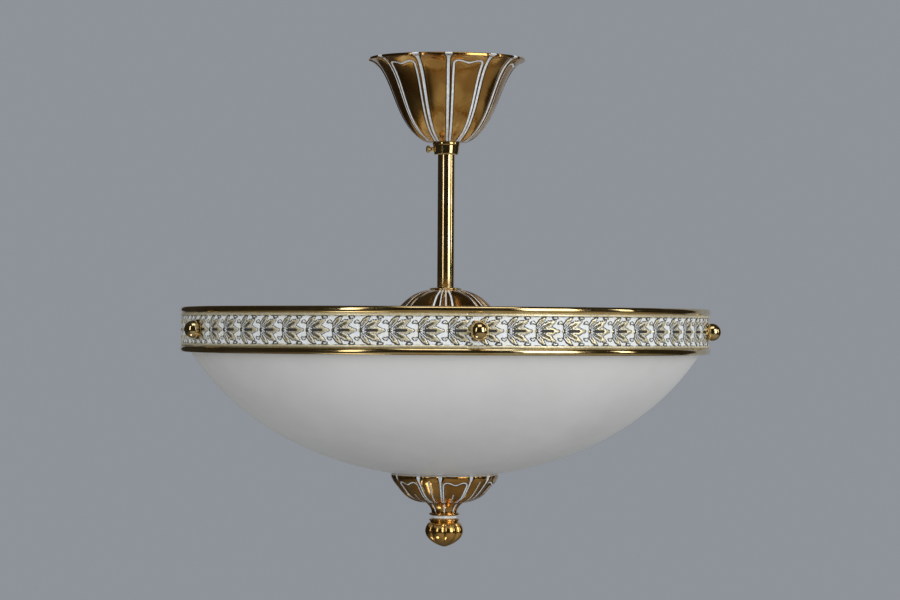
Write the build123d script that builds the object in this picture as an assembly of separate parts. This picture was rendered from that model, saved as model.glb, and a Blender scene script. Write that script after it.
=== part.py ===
from build123d import *
from math import acos, cos, degrees, pi, radians, sin
import os

# Semi-flush bowl pendant: a petalled brass ceiling cup, a tube stem, a fluted dome cap,
# a brass ring with a cast frieze and five ball nuts, and an opal glass bowl that a cup
# and a finial hold up from below.
# Millimetres, +Z up. The origin is at the ceiling, midway between the bracket's slots.
# An azimuth is counted from the front (-Y) towards the right (+X), in degrees.

# ---- fits ----
thread_gap = 0.05          # radial, between a screw thread and its hole
running_gap = 0.08         # radial, between the sliding collar and the stem
loose_gap = 0.3            # radial, where a piece passes through with play
seat_gap = 0.2             # between two seated faces that curve
cut_past = 1.0             # how far a cut runs out past the face it opens

# ---- how finely round forms are drawn ----
ring_sides = 50            # ring, frieze and glass
turned_sides = 20          # collar and disc
small_sides = 10           # lampholders, lamps, balls, shafts and their holes
hole_sides = 8             # blind and wire holes
lead_sides = 6

# ---- ceiling bracket ----
strap_thickness = 2.0
strap_width = 20.0
strap_drop = 22.0          # ceiling to the underside of the bridge
slot_spacing = 92.0
slot_width = 5.5
slot_length = 12.0
foot_end = 4.0             # slot to the end of the foot
leg_clear = 4.0            # slot to the leg
earth_screw_x = -20.0
earth_screw_r = 2.0
earth_head_r = 3.5
earth_head_height = 2.2
earth_screw_length = 8.0

# ---- hollow suspension tube, its nuts and washers ----
tube_r = 4.95
tube_bore_r = 3.75
tube_stand_out = 2.0       # above the top nut
nut_across = 14.0
nut_height = 5.0
washer_r = 9.0
washer_thickness = 1.2

# ---- stem sleeve ----
stem_r = 6.75
stem_wall = 1.0
stem_length = 153.9

# ---- canopy (ceiling cup) ----
foot_clear = 2.5           # corner of the bracket's foot to the canopy's inside
canopy_throat_r = 47.6
canopy_throat_drop = 18.7
canopy_belly_r = 34.0
canopy_belly_drop = 50.0
canopy_floor_r = 16.5
canopy_height = 66.8
canopy_wall = 2.6
canopy_edge = 2.2          # height of the free rim edge
canopy_steps = 7
canopy_inner_steps = 4
petal_pairs = 6
wide_petal = 35.0          # a wide and a narrow petal make one pair
canopy_petal_start = 1.5   # azimuth where a wide petal starts
petal_groove = 1.5         # half width of a groove, in degrees
canopy_groove_depth = 0.022   # shares of the radius
canopy_crown = 0.008

# ---- canopy collar, its ring nut and its thumb screw ----
collar_wall = 4.15         # at the top of the collar
collar_taper = 1.3
collar_height = 9.9
spigot_wall = 1.45
spigot_height = 8.5
ring_nut_across = 22.0
ring_nut_height = 4.0
set_screw_r = 2.0
set_screw_drop = 5.5       # collar's top face to the screw's axis
set_neck = 2.6             # collar to the head
set_head_r = 3.0
set_head_length = 2.7
set_screw_azimuth = -90.0
set_slot = 0.9

# ---- stem foot: disc and dome cap ----
disc_r = 12.7
disc_thickness = 2.0
cap_top_r = 14.0
cap_shoulder_r = 29.0
cap_shoulder_drop = 6.0
cap_waist_r = 38.5
cap_waist_drop = 14.4
cap_base_r = 52.0
cap_wall = 2.2
cap_edge = 1.5
cap_steps = 6
cap_inner_steps = 3
cap_petal_start = -12.0
cap_groove_depth = 0.025
cap_crown = 0.008

# ---- hub and ring arms ----
arm_r = 2.5
arm_count = 5
arm_azimuth = 6.8
arm_depth_in_hub = 8.0
hub_across = 17.5          # axis to each of the hub's flats
hub_height = 16.0

# ---- rim ring and frieze ----
ring_r = 210.0
ring_height = 36.0
ring_drop = 14.2           # top of the dome cap to the top of the ring
ring_wall = 5.0            # through the mouldings
web_wall = 1.8
moulding_height = 5.3
moulding_chamfer = 1.3
frieze_wall = 1.6
frieze_lip = 1.9
frieze_lip_rise = 0.9
frieze_gap = 0.1

# ---- rosettes and ball nuts ----
rosette_r = 8.1
rosette_thickness = 1.4
rosette_lobes = 8
rosette_lobe_depth = 0.9
ball_r = 6.8
ball_seat = 2.5            # ball's centre to its flat back
ball_bands = 5
ball_pole = 16.0           # half angle of the flat at the outer pole, in degrees
ball_thread_depth = 6.5

# ---- lamp cluster ----
lamp_count = 3
lamp_azimuth = 42.8
cluster_across = 23.0      # axis to each flat
cluster_wall = 1.5
cluster_height = 28.0
nut_spacing = 2.5          # between the hub's lower nut and the lid's nut
lid_thickness = 2.0
coupler_across = 14.0
coupler_height = 18.0
tube_in_coupler = 7.0

# ---- lampholders and lamps ----
holder_neck_r = 5.0
holder_neck_bore_r = 3.0
holder_flange_r = 14.0
holder_flange = 3.0
holder_r = 19.0
holder_length = 47.0
socket_depth = 25.0
lamp_cap_r = 13.2
lamp_gap = 0.4             # radial, lamp cap in its socket
lamp_length = 104.0
lamp_neck_r = 15.0
lamp_r = 30.0
lamp_widest = 74.0         # contact to the widest part of the glass
lamp_tip_r = 6.0
lamp_contact_r = 6.6
lamp_cap_step = 3.0        # length of the cap's tapered end
lamp_steps = 6

# ---- leads and terminal block ----
lead_r = 0.9
lead_offset = 1.5          # each lead's distance from the tube's axis
lead_hole_r = 1.6
lead_bend = 2.2            # how far a lead's corners are cut back
lead_in_block = 8.0
lead_clear = 6.0           # above the tube's end
lead_turn_y = -17.0
block_clear = 2.5          # nearest nut to the block's end
way_pitch = 7.0
way_hole_r = 1.7
well_r = 1.9
block_width = 18.0
block_height = 14.0
block_side = 3.9           # end of the block to the nearest way
block_slit = 1.0
block_slit_depth = 5.0
clamp_screw_r = 1.6
clamp_screw_length = 4.0
block_screw_r = 1.5
block_screw_length = 6.5
block_head_r = 2.6
block_head_height = 1.8

# ---- glass bowl ----
bowl_half_depth = 178.0    # upright half axis of the ellipse that the outside follows
bowl_drop = 98.1           # ring's lower edge to the glass's lowest point
bowl_rim_clear = 1.0       # rim to the ring's inside
bowl_wall = 4.0
bowl_rim_lap = 4.8         # how far the rim stands inside the ring
bowl_hole_r = 7.0
bowl_bands = 8
bowl_inner_bands = 5

# ---- centre rod, grommet and gasket ----
rod_r = 3.0
rod_in_coupler = 8.0
rod_in_finial = 13.4
grommet_flange_r = 10.0
grommet_flange = 1.5
gasket_width = 2.4

# ---- bottom cup ----
cup_rim_r = 42.6
cup_shoulder_r = 38.2
cup_shoulder_drop = 8.8
cup_heel_r = 30.0
cup_heel_drop = 17.6
cup_floor_r = 18.0
cup_height = 22.1
cup_gap = 1.1              # glass to the cup's rim, filled by the gasket
cup_wall = 2.4
cup_edge = 1.0
cup_steps = 5
cup_inner_steps = 3
cup_petal_start = -4.5
cup_groove_depth = 0.03
cup_crown = 0.01

# ---- finial ----
finial_lobes = 8
neck_top_r = 15.2
neck_waist_r = 9.0
neck_height = 9.0
neck_steps = 2
astragal_r = 11.9
astragal_height = 3.0
groove_r = 9.2
groove_height = 2.4
bead_r = 11.0
bead_height = 3.6
knob_r = 15.6
knob_height = 17.2
knob_top_r = 10.6
knob_tip_r = 1.2
knob_belly = 0.32          # share of the knob's height at its widest
knob_steps = 6
lobe_depth = 0.05          # share of the knob's radius
moulding_rise = 0.8        # share of a moulding's projection that is its flat flank
finial_hole_depth = 16.0

# ---- places worked out from the sizes above ----
bridge_bottom = -strap_drop
bridge_top = bridge_bottom + strap_thickness
tube_top = bridge_top + nut_height + tube_stand_out
lead_over_z = tube_top + lead_clear
foot_half = slot_spacing / 2 + slot_length / 2 + foot_end
leg_x = slot_spacing / 2 - slot_length / 2 - leg_clear - strap_thickness / 2
canopy_rim_r = (foot_half ** 2 + (strap_width / 2) ** 2) ** 0.5 + foot_clear + canopy_wall
stem_top = bridge_bottom - washer_thickness - nut_height
disc_top = stem_top - stem_length
spigot_r = stem_r + spigot_wall
collar_top_r = stem_r + collar_wall
collar_bottom_r = collar_top_r - collar_taper
set_screw_reach = collar_top_r + set_neck + set_head_length
collar_top = -canopy_height
collar_bottom = collar_top - collar_height
set_screw_z = collar_top - set_screw_drop
cap_top = disc_top - disc_thickness
ring_top = cap_top - ring_drop
ring_bottom = ring_top - ring_height
ring_inner_r = ring_r - ring_wall
channel_r = ring_inner_r + web_wall
frieze_r = channel_r + frieze_gap + frieze_wall
frieze_lip_r = frieze_r + frieze_lip_rise
arm_z = (ring_top + ring_bottom) / 2
cap_bottom = arm_z + arm_r + seat_gap
hub_top = arm_z + hub_height / 2
hub_bottom = hub_top - hub_height
arm_azimuths = [arm_azimuth + 360 / arm_count * arm for arm in range(arm_count)]
lower_nut = hub_bottom - washer_thickness - nut_height
cluster_top = lower_nut - nut_spacing - nut_height - lid_thickness
cluster_bottom = cluster_top - cluster_height
lamp_axis_z = (cluster_top + cluster_bottom) / 2
coupler_top = cluster_bottom - nut_height
coupler_bottom = coupler_top - coupler_height
tube_bottom = coupler_top - tube_in_coupler
rod_top = coupler_bottom + rod_in_coupler
lamp_azimuths = [lamp_azimuth + 360 / lamp_count * lamp for lamp in range(lamp_count)]
holder_back = cluster_across
holder_front = holder_back + holder_length
socket_r = lamp_cap_r + lamp_gap
lamp_contact = holder_front - socket_depth + seat_gap
rosette_back = frieze_r + frieze_gap
ball_back = rosette_back + rosette_thickness + frieze_gap
narrow_petal = 360 / petal_pairs - wide_petal
block_start = nut_across / 2 + block_clear
block_length = 2 * block_side + 2 * way_pitch
ways = [block_start + block_side + way_pitch * step for step in range(3)]
block_screw_x = (ways[0] + ways[1]) / 2
block_z = bridge_bottom - block_height / 2
bowl_bottom = ring_bottom - bowl_drop
bowl_rim_z = ring_bottom + bowl_rim_lap
bowl_rim_cos = 1 - (bowl_rim_z - bowl_bottom) / bowl_half_depth
bowl_half_width = (ring_inner_r - bowl_rim_clear) / sin(acos(bowl_rim_cos))


def bowl_height(radius):
    """Height of the glass's underside at a radius."""
    share = (1 - (radius / bowl_half_width) ** 2) ** 0.5
    return bowl_bottom + bowl_half_depth * (1 - share)


cup_top = bowl_height(cup_rim_r) - cup_gap
cup_bottom = cup_top - cup_height
finial_top = cup_bottom - thread_gap
rod_bottom = finial_top - rod_in_finial


# ---- helpers ----
def turned_to(azimuth, shape):
    """Turn a shape that was drawn towards +X to an azimuth."""
    return Rot(0, 0, azimuth - 90) * shape


def polar(radius, azimuth):
    """A plan point at a radius and an azimuth."""
    return (radius * sin(radians(azimuth)), -radius * cos(radians(azimuth)))


def flats(radius, sides=small_sides):
    """A many-sided hole or blank whose flats touch a circle."""
    return RegularPolygon(radius, sides, major_radius=False)


def opened(radius, sides):
    """The corner radius of a many-sided hole whose flats touch a circle."""
    return radius / cos(pi / sides)


def upright(outline, low, high):
    """A plan outline drawn out between two heights."""
    return Pos(0, 0, low) * extrude(outline, high - low)


def along_x(outline, start, end, height=0.0):
    """A cross-section drawn out along X between two places."""
    return Pos(start, 0, height) * extrude(Plane.YZ * outline, end - start)


def laid_over(shape, height):
    """Lay an upright shape down along +X at a height."""
    return Pos(0, 0, height) * Rot(0, 90, 0) * shape


def shaft(radius, sides=small_sides):
    """A many-sided blank whose corners touch a circle."""
    return RegularPolygon(radius, sides)


def hex_nut(across, height, bore, bottom):
    """A hexagon nut on the vertical axis."""
    return upright(flats(across / 2, 6) - flats(bore), bottom, bottom + height)


def group(shapes):
    """Alike pieces kept together in one node."""
    return Compound(children=list(shapes))


def polygon_points(sides, start=0.0):
    """A regular unit cross-section with one flat centred on an azimuth."""
    return [polar(1, start + 360 * (side + 0.5) / sides) for side in range(sides)]


def petal_points(start, depth, crown):
    """A unit cross-section of wide and narrow petals with a groove between each two."""
    points = []
    azimuth = start
    for pair in range(petal_pairs):
        for width in (wide_petal, narrow_petal):
            points.append(polar(1 - depth, azimuth))
            points.append(polar(1 - crown, azimuth + petal_groove))
            if width == wide_petal:
                points.append(polar(1, azimuth + width / 2))
            points.append(polar(1 - crown, azimuth + width - petal_groove))
            azimuth += width
    return points


def rounded(points):
    """The same cross-section with every corner moved onto the unit circle."""
    lengths = [(x * x + y * y) ** 0.5 for x, y in points]
    return [(x / length, y / length) for (x, y), length in zip(points, lengths)]


def lobe_points(lobes):
    """A unit cross-section of gadroons, each with one valley and two crown points."""
    points = []
    pitch = 360 / lobes
    for lobe in range(lobes):
        points.append(polar(1 - lobe_depth, pitch * lobe))
        points.append(polar(1, pitch * (lobe + 1 / 3)))
        points.append(polar(1, pitch * (lobe + 2 / 3)))
    return points


def stations(outline, steps, offset_r=0.0):
    """Places (radius, height) along an outline, moved off it to its right."""
    found = []
    for step in range(steps + 1):
        place = outline @ (step / steps)
        along = outline % (step / steps)
        found.append((place.X + offset_r * along.Y, place.Y - offset_r * along.X))
    return found


def levels(unit_points, places):
    """Copies of one cross-section, each scaled to the radius of its place."""
    return [[(radius * x, radius * y, height) for x, y in unit_points] for radius, height in places]


def polygon_face(corners):
    return Face(Wire.make_polygon(list(corners), close=True))


def flat_bands(low, high):
    """Flat faces between two cross-sections with as many corners."""
    return [polygon_face(quad) for quad in zip(low, low[1:] + low[:1], high[1:] + high[:1], high)]


def solid_stack(sections):
    """A solid of flat faces through cross-sections, closed at both ends."""
    faces = [polygon_face(sections[0]), polygon_face(sections[-1])]
    for low, high in zip(sections, sections[1:]):
        faces += flat_bands(low, high)
    return Solid(Shell(faces))


def hollow_stack(sections):
    """A solid of flat faces round an open middle, whose last cross-section meets its first."""
    faces = []
    for low, high in zip(sections, sections[1:] + sections[:1]):
        faces += flat_bands(low, high)
    return Solid(Shell(faces))


def turned(places, sides, start=0.0):
    """A closed outline of (radius, height), turned about the axis in flat steps."""
    return hollow_stack(levels(polygon_points(sides, start), places))


def casting(outline, steps, inner_steps, wall, edge, petals, bore):
    """A petalled bell or cup from its rim to its floor: grooved outside, plain inside."""
    plain = rounded(petals)
    outside = stations(outline, steps)
    up = 1 if outside[0][1] > outside[-1][1] else -1
    inside = stations(outline, inner_steps, wall * up)
    rim_r, rim_low = outside[0]
    rim = rim_low + edge * up
    floor = outside[-1][1]
    grooved = levels(petals, [(rim_r, rim)] + outside)
    smooth = [(bore, floor), (bore, inside[-1][1])] + inside[:0:-1] + [(rim_r - wall, rim)]
    return hollow_stack(grooved + levels(plain, smooth))


parts = {}


# ---- ceiling bracket and what is fixed to it ----
def ceiling_bracket():
    middle = strap_thickness / 2
    bridge_z = bridge_bottom + middle
    path = Polyline(
        (-foot_half, -middle), (-leg_x, -middle), (-leg_x, bridge_z),
        (leg_x, bridge_z), (leg_x, -middle), (foot_half, -middle))
    side = Plane.XZ * trace(path, strap_thickness)
    strap = extrude(side, strap_width / 2, both=True)
    slot = extrude(SlotOverall(slot_length, slot_width), strap_thickness * 2, both=True)
    for place in (-slot_spacing / 2, slot_spacing / 2):
        strap -= Pos(place, 0, 0) * slot
    holes = [(0, tube_r), (earth_screw_x, earth_screw_r), (block_screw_x, block_screw_r)]
    for place, radius in holes:
        strap -= Pos(place, 0, 0) * upright(flats(radius + thread_gap), bridge_bottom, bridge_top)
    return strap


parts["ceiling_bracket"] = ceiling_bracket()

earth_head_bottom = bridge_bottom - earth_head_height
earth_screw = upright(shaft(earth_screw_r), bridge_bottom, bridge_bottom + earth_screw_length)
earth_screw += upright(shaft(earth_head_r), earth_head_bottom, bridge_bottom)
parts["earth_screw"] = Pos(earth_screw_x, 0, 0) * earth_screw

block_screw = upright(shaft(block_screw_r), bridge_top - block_screw_length, bridge_top)
block_screw += upright(shaft(block_head_r), bridge_top, bridge_top + block_head_height)
parts["block_screw"] = Pos(block_screw_x, 0, 0) * block_screw


def terminal_block():
    bottom = bridge_bottom - block_height
    body = upright(Rectangle(block_length, block_width), bottom, bridge_bottom)
    body = Pos(block_start + block_length / 2, 0, 0) * body
    for left, right in zip(ways, ways[1:]):
        slit = upright(Rectangle(block_slit, block_width), bottom, bottom + block_slit_depth)
        body -= Pos((left + right) / 2, 0, 0) * slit
    entry = extrude(Plane.XZ * flats(way_hole_r, hole_sides), block_width / 2, both=True)
    well = upright(flats(well_r, hole_sides), bottom, block_z)
    for way in ways:
        body -= Pos(way, 0, block_z) * entry
        body -= Pos(way, 0, 0) * well
    thread = upright(flats(block_screw_r + thread_gap), bridge_top - block_screw_length, bridge_bottom)
    return body - Pos(block_screw_x, 0, 0) * thread


parts["terminal_block"] = terminal_block()

clamp_top = block_z - lead_r - seat_gap
clamp_screw = upright(shaft(clamp_screw_r), clamp_top - clamp_screw_length, clamp_top)
parts["clamp_screws"] = group(Pos(way, 0, 0) * clamp_screw for way in ways)


# ---- suspension tube with its nuts and washers, and the stem sleeve ----
def suspension_tube():
    bore = flats(tube_bore_r)
    tube = upright(shaft(tube_r) - bore, tube_bottom, tube_top)
    for azimuth in lamp_azimuths:
        tube -= turned_to(azimuth, along_x(flats(lead_hole_r, hole_sides), 0, tube_r, lamp_axis_z))
    return tube


parts["suspension_tube"] = suspension_tube()

nut_bottoms = [
    bridge_top,
    stem_top,
    hub_top,
    lower_nut,
    cluster_top + lid_thickness,
    cluster_bottom - nut_height,
]
nut = hex_nut(nut_across, nut_height, tube_r + thread_gap, 0)
parts["tube_nuts"] = group(Pos(0, 0, bottom) * nut for bottom in nut_bottoms)

washer_bottoms = [bridge_bottom - washer_thickness, hub_bottom - washer_thickness]
washer = upright(shaft(washer_r) - flats(tube_r + loose_gap), 0, washer_thickness)
parts["tube_washers"] = group(Pos(0, 0, bottom) * washer for bottom in washer_bottoms)

parts["stem_sleeve"] = upright(Circle(stem_r) - Circle(stem_r - stem_wall), disc_top, stem_top)


# ---- canopy with its collar, ring nut and thumb screw ----
def canopy():
    outline = Spline(
        (canopy_rim_r, -canopy_edge),
        (canopy_throat_r, -canopy_throat_drop),
        (canopy_belly_r, -canopy_belly_drop),
        (canopy_floor_r, -canopy_height),
        tangents=((-1, -0.3), (-1, -0.35)))
    petals = petal_points(canopy_petal_start, canopy_groove_depth, canopy_crown)
    bore = spigot_r + 2 * loose_gap
    return casting(outline, canopy_steps, canopy_inner_steps, canopy_wall, canopy_edge, petals, bore)


parts["canopy"] = canopy()

collar_bore = opened(stem_r + running_gap, turned_sides)
spigot_top = collar_top + spigot_height
collar = turned([
    (collar_bore, collar_bottom), (collar_bottom_r, collar_bottom), (collar_top_r, collar_top),
    (spigot_r, collar_top), (spigot_r, spigot_top), (collar_bore, spigot_top),
], turned_sides)
set_hole = along_x(flats(set_screw_r + thread_gap), 0, collar_top_r, set_screw_z)
parts["canopy_collar"] = collar - turned_to(set_screw_azimuth, set_hole)

ring_nut_bottom = collar_top + canopy_wall
ring_nut_bore = spigot_r + thread_gap
parts["canopy_ring_nut"] = hex_nut(ring_nut_across, ring_nut_height, ring_nut_bore, ring_nut_bottom)


def canopy_set_screw():
    head_start = set_screw_reach - set_head_length
    shank = shaft(set_screw_r)
    screw = along_x(shank, stem_r + seat_gap, head_start)
    screw += along_x(shaft(set_head_r), head_start, set_screw_reach)
    screw -= Pos(set_screw_reach, 0, 0) * Box(set_head_length, set_slot, 2 * set_head_r)
    return turned_to(set_screw_azimuth, Pos(0, 0, set_screw_z) * screw)


parts["canopy_set_screw"] = canopy_set_screw()

# ---- stem foot: disc and dome cap ----
foot_bore = opened(tube_r + loose_gap, turned_sides)
parts["stem_disc"] = turned(
    [(foot_bore, cap_top), (disc_r, cap_top), (disc_r, disc_top), (foot_bore, disc_top)], turned_sides)


def dome_cap():
    outline = Spline(
        (cap_base_r, cap_bottom + cap_edge),
        (cap_waist_r, cap_top - cap_waist_drop),
        (cap_shoulder_r, cap_top - cap_shoulder_drop),
        (cap_top_r, cap_top),
        tangents=((-0.35, 1), (-1, 0.12)))
    petals = petal_points(cap_petal_start, cap_groove_depth, cap_crown)
    bore = tube_r + 2 * loose_gap
    return casting(outline, cap_steps, cap_inner_steps, cap_wall, cap_edge, petals, bore)


parts["dome_cap"] = dome_cap()


# ---- hub and the five arms that carry the ring ----
def hub():
    plan = RegularPolygon(hub_across, arm_count, major_radius=False, rotation=180 / arm_count)
    block = upright(plan - flats(tube_r + thread_gap), hub_bottom, hub_top)
    block = turned_to(arm_azimuth, block)
    hole = flats(arm_r + thread_gap, hole_sides)
    drill = along_x(hole, hub_across - arm_depth_in_hub, hub_across + cut_past, arm_z)
    for azimuth in arm_azimuths:
        block -= turned_to(azimuth, drill)
    return block


parts["hub"] = hub()

arm_start = hub_across - arm_depth_in_hub + seat_gap
arm_end = ball_back + ball_thread_depth - seat_gap
arm = along_x(shaft(arm_r), arm_start, arm_end, arm_z)
for number, azimuth in enumerate(arm_azimuths, 1):
    parts[f"ring_arm_{number}"] = turned_to(azimuth, arm)


# ---- rim ring, frieze, rosettes and ball nuts ----
arm_drills = [
    turned_to(azimuth, along_x(flats(arm_r + loose_gap), ring_inner_r - cut_past, ring_r, arm_z))
    for azimuth in arm_azimuths
]


def rim_ring():
    """The ring: a web with a moulding along each edge and a channel between them."""
    inner = opened(ring_inner_r, ring_sides)
    nose = ring_r - moulding_chamfer
    upper_end = ring_top - moulding_height
    lower_end = ring_bottom + moulding_height
    ring = turned([
        (inner, ring_bottom), (nose, ring_bottom), (ring_r, ring_bottom + moulding_chamfer),
        (ring_r, lower_end - moulding_chamfer), (nose, lower_end), (channel_r, lower_end),
        (channel_r, upper_end), (nose, upper_end), (ring_r, upper_end + moulding_chamfer),
        (ring_r, ring_top - moulding_chamfer), (nose, ring_top), (inner, ring_top),
    ], ring_sides, arm_azimuth)
    for drill in arm_drills:
        ring -= drill
    return ring


parts["rim_ring"] = rim_ring()


def frieze_segment(number):
    """One cast strip from ball to ball, with a raised lip along both edges."""
    low = ring_bottom + moulding_height + frieze_gap
    high = ring_top - moulding_height - frieze_gap
    back = channel_r + frieze_gap
    outline = [
        (back, low), (frieze_lip_r, low), (frieze_lip_r, low + frieze_lip),
        (frieze_r, low + frieze_lip), (frieze_r, high - frieze_lip),
        (frieze_lip_r, high - frieze_lip), (frieze_lip_r, high), (back, high),
    ]
    flat = 360 / ring_sides
    joint = degrees(frieze_gap / channel_r)
    start = arm_azimuths[number]
    end = start + 360 / arm_count
    corners = [start + flat * (side + 0.5) for side in range(ring_sides // arm_count)]
    inset = cos(radians(flat / 2))
    places = [(start + joint, inset)] + [(corner, 1) for corner in corners] + [(end - joint, inset)]
    sections = []
    for azimuth, share in places:
        sections.append([(*polar(radius * share, azimuth), height) for radius, height in outline])
    strip = solid_stack(sections)
    return strip - arm_drills[number] - arm_drills[(number + 1) % arm_count]


for number in range(arm_count):
    parts[f"frieze_segment_{number + 1}"] = frieze_segment(number)


def rosette():
    points = []
    for lobe in range(rosette_lobes):
        points.append(polar(rosette_r, 360 / rosette_lobes * lobe))
        points.append(polar(rosette_r - rosette_lobe_depth, 360 / rosette_lobes * (lobe + 0.5)))
    plan = make_face(Polyline(*points, close=True)) - flats(arm_r + loose_gap, hole_sides)
    return along_x(plan, rosette_back, rosette_back + rosette_thickness, arm_z)


parts["rosettes"] = group(turned_to(azimuth, rosette()) for azimuth in arm_azimuths)


def ball_nut():
    """A ball with a flat back and a blind threaded hole, along +X."""
    first = degrees(acos(-ball_seat / ball_r))
    places = []
    for band in range(ball_bands + 1):
        angle = radians(first + (ball_pole - first) * band / ball_bands)
        places.append((ball_r * sin(angle), ball_seat + ball_r * cos(angle)))
    ball = solid_stack(levels(polygon_points(small_sides), places))
    ball -= upright(flats(arm_r + thread_gap, hole_sides), 0, ball_thread_depth)
    return Pos(ball_back, 0, 0) * laid_over(ball, arm_z)


parts["ball_nuts"] = group(turned_to(azimuth, ball_nut()) for azimuth in arm_azimuths)


# ---- lamp cluster ----
def cluster_plan(across):
    """A hexagon with a flat facing each lamp."""
    return Rot(0, 0, lamp_azimuth - 90) * RegularPolygon(across, 6, major_radius=False, rotation=30)


cluster_bore = flats(tube_r + loose_gap)


def cluster_body():
    floor = cluster_bottom + cluster_wall
    body = upright(cluster_plan(cluster_across) - cluster_bore, cluster_bottom, cluster_top)
    body -= upright(cluster_plan(cluster_across - cluster_wall), floor, cluster_top)
    hole = along_x(flats(holder_neck_r + thread_gap), 0, cluster_across, lamp_axis_z)
    for azimuth in lamp_azimuths:
        body -= turned_to(azimuth, hole)
    return body


parts["cluster_body"] = cluster_body()
lid_plan = cluster_plan(cluster_across) - cluster_bore
parts["cluster_lid"] = upright(lid_plan, cluster_top, cluster_top + lid_thickness)

coupler = hex_nut(coupler_across, coupler_height, rod_r + thread_gap, coupler_bottom)
tube_socket = upright(flats(tube_r + thread_gap), coupler_top - tube_in_coupler, coupler_top)
parts["rod_coupler"] = coupler - tube_socket


def lampholder():
    """A lampholder along +X: threaded neck, flange, barrel and open socket."""
    flange = holder_back + holder_flange
    socket = opened(socket_r, small_sides)
    socket_floor = holder_front - socket_depth
    neck_end = holder_back - cluster_wall
    body = turned([
        (holder_neck_bore_r, neck_end), (holder_neck_r, neck_end), (holder_neck_r, holder_back),
        (holder_flange_r, holder_back), (holder_flange_r, flange), (holder_r, flange + holder_flange),
        (holder_r, holder_front), (socket, holder_front), (socket, socket_floor),
        (holder_neck_bore_r, socket_floor),
    ], small_sides)
    return laid_over(body, lamp_axis_z)


def lamp():
    """A pear-shaped lamp along +X: contact, screw cap and glass."""
    cap_end = lamp_contact + socket_depth
    pear = Spline(
        (lamp_neck_r, cap_end),
        (lamp_r, lamp_contact + lamp_widest),
        (lamp_tip_r, lamp_contact + lamp_length),
        tangents=((0.3, 1), (-1, 0.1)))
    cap = [
        (lamp_contact_r, lamp_contact), (lamp_cap_r, lamp_contact + lamp_cap_step), (lamp_cap_r, cap_end),
    ]
    body = solid_stack(levels(polygon_points(small_sides), cap + stations(pear, lamp_steps)))
    return laid_over(body, lamp_axis_z)


for number, azimuth in enumerate(lamp_azimuths, 1):
    parts[f"lampholder_{number}"] = turned_to(azimuth, lampholder())
    parts[f"lamp_{number}"] = turned_to(azimuth, lamp())


# ---- leads from the terminal block through the tube to the lampholders ----
def eased(points, cut):
    """The same route with every corner cut off, so that it turns in two steps."""
    corners = [Vector(*point) for point in points]
    route = [corners[0]]
    for before, corner, after in zip(corners, corners[1:], corners[2:]):
        route.append(corner + (before - corner).normalized() * cut)
        route.append(corner + (after - corner).normalized() * cut)
    return route + [corners[-1]]


def lead(azimuth, way):
    in_tube = polar(lead_offset, azimuth)
    route = Polyline(*eased([
        (way, lead_in_block - block_width / 2, block_z),
        (way, lead_turn_y, block_z),
        (way, lead_turn_y, lead_over_z),
        (*in_tube, lead_over_z),
        (*in_tube, lamp_axis_z),
        (*polar(holder_back + holder_flange, azimuth), lamp_axis_z),
    ], lead_bend))
    start = Plane(origin=route @ 0, z_dir=route % 0)
    return sweep(start * shaft(lead_r, lead_sides), path=route, transition=Transition.RIGHT)


lead_ways = [ways[1], ways[2], ways[0]]     # the way that feeds each lampholder in turn
parts["lamp_leads"] = group(lead(azimuth, way) for azimuth, way in zip(lamp_azimuths, lead_ways))


# ---- glass bowl with its grommet and gasket ----
def bowl_curve(wall, bands):
    """Places on the bowl's ellipse from the centre hole to the rim, inset by a wall."""
    half_width = bowl_half_width - wall
    half_depth = bowl_half_depth - wall
    bottom = bowl_bottom + wall
    rim_angle = acos(1 - (bowl_rim_z - bottom) / half_depth)
    hole_angle = bowl_hole_r / half_width
    places = []
    for band in range(bands + 1):
        angle = hole_angle + (rim_angle - hole_angle) * band / bands
        places.append((half_width * sin(angle), bottom + half_depth * (1 - cos(angle))))
    return places


bowl_outline = bowl_curve(0, bowl_bands) + bowl_curve(bowl_wall, bowl_inner_bands)[::-1]
parts["glass_bowl"] = turned(bowl_outline, ring_sides, arm_azimuth)


def bowl_grommet():
    """A rubber bush with a flange above and below the glass."""
    bore = opened(rod_r + loose_gap, small_sides)
    bush = bowl_hole_r - loose_gap
    low = bowl_bottom - seat_gap
    high = bowl_bottom + bowl_wall + 3 * seat_gap
    return turned([
        (bore, low - grommet_flange), (grommet_flange_r, low - grommet_flange), (grommet_flange_r, low),
        (bush, low), (bush, high), (grommet_flange_r, high), (grommet_flange_r, high + grommet_flange),
        (bore, high + grommet_flange),
    ], small_sides)


parts["bowl_grommet"] = bowl_grommet()


def bowl_gasket():
    outer = cup_rim_r - loose_gap
    inner = outer - gasket_width
    return turned([
        (inner, cup_top), (outer, cup_top),
        (outer, bowl_height(outer) - seat_gap), (inner, bowl_height(inner) - seat_gap),
    ], ring_sides // 2)


parts["bowl_gasket"] = bowl_gasket()

parts["centre_rod"] = upright(Circle(rod_r), rod_bottom, rod_top)


# ---- bottom cup and finial ----
def bottom_cup():
    outline = Spline(
        (cup_rim_r, cup_top - cup_edge),
        (cup_shoulder_r, cup_top - cup_shoulder_drop),
        (cup_heel_r, cup_top - cup_heel_drop),
        (cup_floor_r, cup_bottom),
        tangents=((-0.1, -1), (-1, -0.1)))
    petals = petal_points(cup_petal_start, cup_groove_depth, cup_crown)
    bore = rod_r + 2 * loose_gap
    return casting(outline, cup_steps, cup_inner_steps, cup_wall, cup_edge, petals, bore)


parts["bottom_cup"] = bottom_cup()


def rolled(inner, outer, high, low):
    """Places round a small rounded moulding between two heights."""
    quarter = (high - low) / 4
    rise = inner + (outer - inner) * moulding_rise
    return [(rise, high), (outer, high - quarter), (outer, low + quarter), (rise, low)]


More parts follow.
